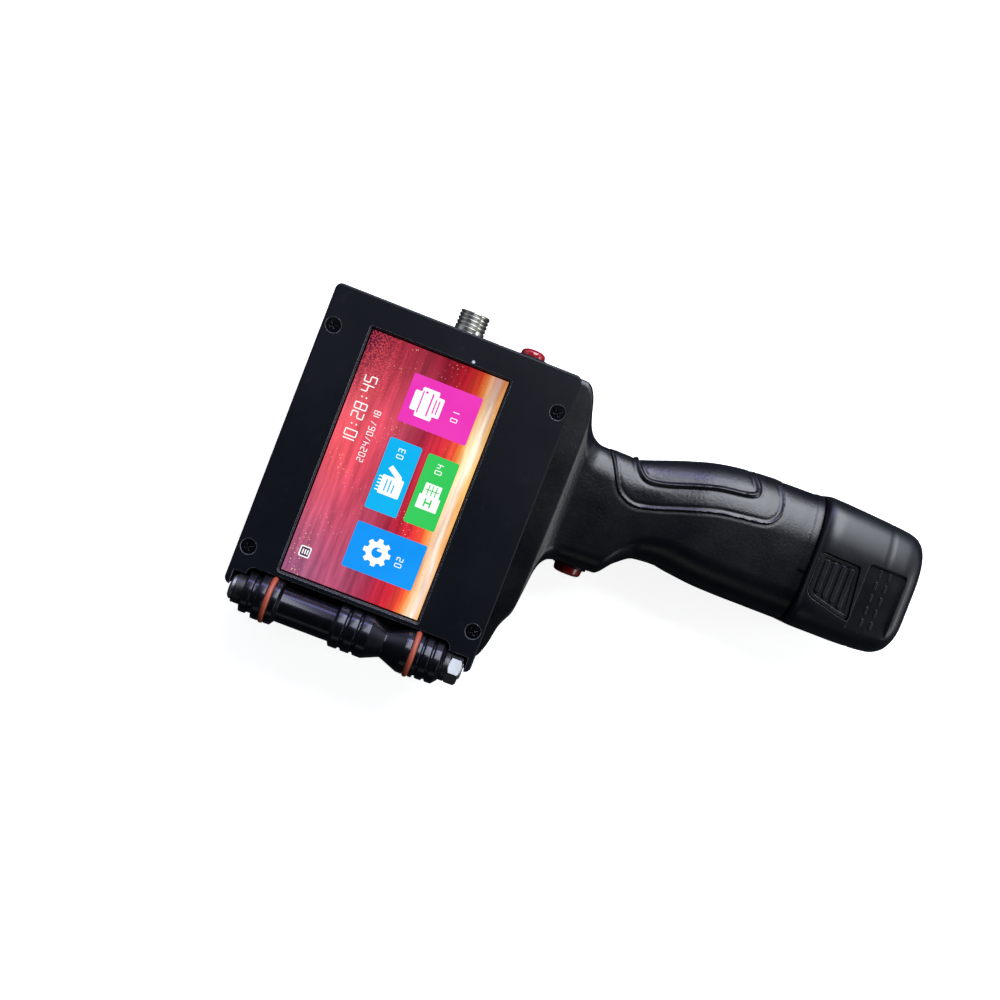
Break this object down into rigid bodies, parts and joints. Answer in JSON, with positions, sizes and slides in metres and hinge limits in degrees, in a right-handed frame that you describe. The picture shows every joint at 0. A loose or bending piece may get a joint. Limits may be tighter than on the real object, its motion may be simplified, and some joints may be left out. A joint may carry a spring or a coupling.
{
  "type": "handheld inkjet printer",
  "caption": "Handheld date code inkjet printer with a touch screen, ribbed guide roller on the print nose, pistol handle with trigger and slide-in battery.",
  "frame": {"origin": "centre of the case's back face, with the printer lying on its back", "axes": "+Z out of the screen, +X from the print nose to the rear face, +Y from the handle side to the top of the screen"},
  "size_m": [0.1375, 0.2445, 0.06],
  "materials": {
    "case": "fine matte powder coat on sheet metal",
    "case_cover": "fine matte powder coat on sheet metal",
    "black_screw": "black oxide",
    "zinc_steel": "bright zinc",
    "bracket": "black coated steel sheet",
    "glass": "clear cover glass",
    "gasket": "closed-cell foam",
    "display": "lit display behind glass",
    "light_pipe": "clear moulded light pipe",
    "circuit_board": "solder mask on fibreglass",
    "brass": "turned brass or bronze",
    "black_plastic": "moulded satin",
    "stall_plastic": "glass-filled moulded plastic",
    "cartridge": "moulded satin",
    "nozzle": "gold-plated nickel",
    "spring_steel": "spring steel",
    "roller": "satin black anodised",
    "o_ring": "orange-red silicone",
    "wheel_rubber": "moulded rubber on a steel shaft",
    "nickel": "nickel plated",
    "gold": "gold plated",
    "power_red": "gloss red moulded",
    "trigger_red": "dark red moulded",
    "handle": "satin moulded with fine texture",
    "grip": "soft moulded grip",
    "battery_shell": "satin moulded",
    "cell": "shrink sleeve on a steel can"
  },
  "bodies": {
    "case": {"rear_housing": "case", "front_cover": "case", "cover_screws": "black_screw", "handle_screws": "black_screw", "axle_bolt": "zinc_steel", "axle_nut": "zinc_steel", "flange_screws": "zinc_steel", "board_screws": "zinc_steel", "roller_bracket": "bracket", "guide_bracket": "bracket", "roller_spacers": "bracket", "touch_glass": "glass", "screen_gasket": "gasket", "lcd_module": "display", "status_light": "light_pipe", "main_board": "circuit_board", "contact_board": "circuit_board", "board_standoffs": "brass", "buzzer": "black_plastic", "encoder_body": "black_plastic", "connector_insert": "black_plastic", "power_switch": "black_plastic", "trigger_switch": "black_plastic", "terminal_block": "black_plastic", "power_bezel": "black_plastic", "trigger_collar": "black_plastic", "cartridge_stall": "stall_plastic", "ink_cartridge": "cartridge", "nozzle_plate": "nozzle", "stall_spring": "spring_steel", "power_spring": "spring_steel", "trigger_spring": "spring_steel", "connector_shell": "nickel", "connector_nut": "nickel", "connector_pins": "gold", "handle_left_shell": "handle", "handle_right_shell": "handle", "grip_overmould": "grip"},
    "roller": {"roller_body": "roller", "lower_o_ring": "o_ring", "upper_o_ring": "o_ring", "roller_bushes": "brass"},
    "encoder": {"encoder_wheel": "wheel_rubber"},
    "far_guide": {"guide_roller": "roller"},
    "power_button": {"power_cap": "power_red"},
    "trigger": {"trigger_cap": "trigger_red"},
    "cover": {"cartridge_cover": "case_cover"},
    "battery": {"battery_housing": "battery_shell", "battery_base": "battery_shell", "battery_cells": "cell", "battery_contacts": "gold", "latch_spring_left": "spring_steel", "latch_spring_right": "spring_steel"},
    "latch_left": {"battery_latch_left": "battery_shell"},
    "latch_right": {"battery_latch_right": "battery_shell"}
  },
  "joints": [
    {"name": "roller_spin", "type": "hinge", "parent": "case", "child": "roller", "pos_m": [-0.0595, 0, 0.051], "axis": [0, 1, 0], "continuous": true},
    {"name": "encoder_spin", "type": "hinge", "parent": "case", "child": "encoder", "pos_m": [-0.0575, 0, 0.03968], "axis": [0, 1, 0], "continuous": true},
    {"name": "guide_spin", "type": "hinge", "parent": "case", "child": "far_guide", "pos_m": [-0.0645, 0, 0.0046], "axis": [0, 1, 0], "continuous": true},
    {"name": "power_press", "type": "slide", "parent": "case", "child": "power_button", "axis": [-1, 0, 0], "range_m": [0, 0.0015], "stiffness_N_per_m": 600, "springref_m": -0.001, "deforming": ["power_spring"]},
    {"name": "trigger_press", "type": "slide", "parent": "case", "child": "trigger", "axis": [1, 0, 0], "range_m": [0, 0.0025], "stiffness_N_per_m": 700, "springref_m": -0.001, "deforming": ["trigger_spring"]},
    {"name": "cover_slide", "type": "slide", "parent": "case", "child": "cover", "axis": [0, 1, 0], "range_m": [0, 0.07]},
    {"name": "battery_slide", "type": "slide", "parent": "case", "child": "battery", "axis": [0, -1, 0], "range_m": [0, 0.06]},
    {"name": "latch_left_press", "type": "slide", "parent": "battery", "child": "latch_left", "axis": [0, 0, -1], "range_m": [0, 0.002], "stiffness_N_per_m": 800, "springref_m": -0.001, "deforming": ["latch_spring_left"]},
    {"name": "latch_right_press", "type": "slide", "parent": "battery", "child": "latch_right", "axis": [0, 0, 1], "range_m": [0, 0.002], "stiffness_N_per_m": 800, "springref_m": -0.001, "deforming": ["latch_spring_right"]}
  ],
  "couplings": [
    {"joint": "encoder_spin", "follows": "roller_spin", "ratio": -1.4889}
  ]
}
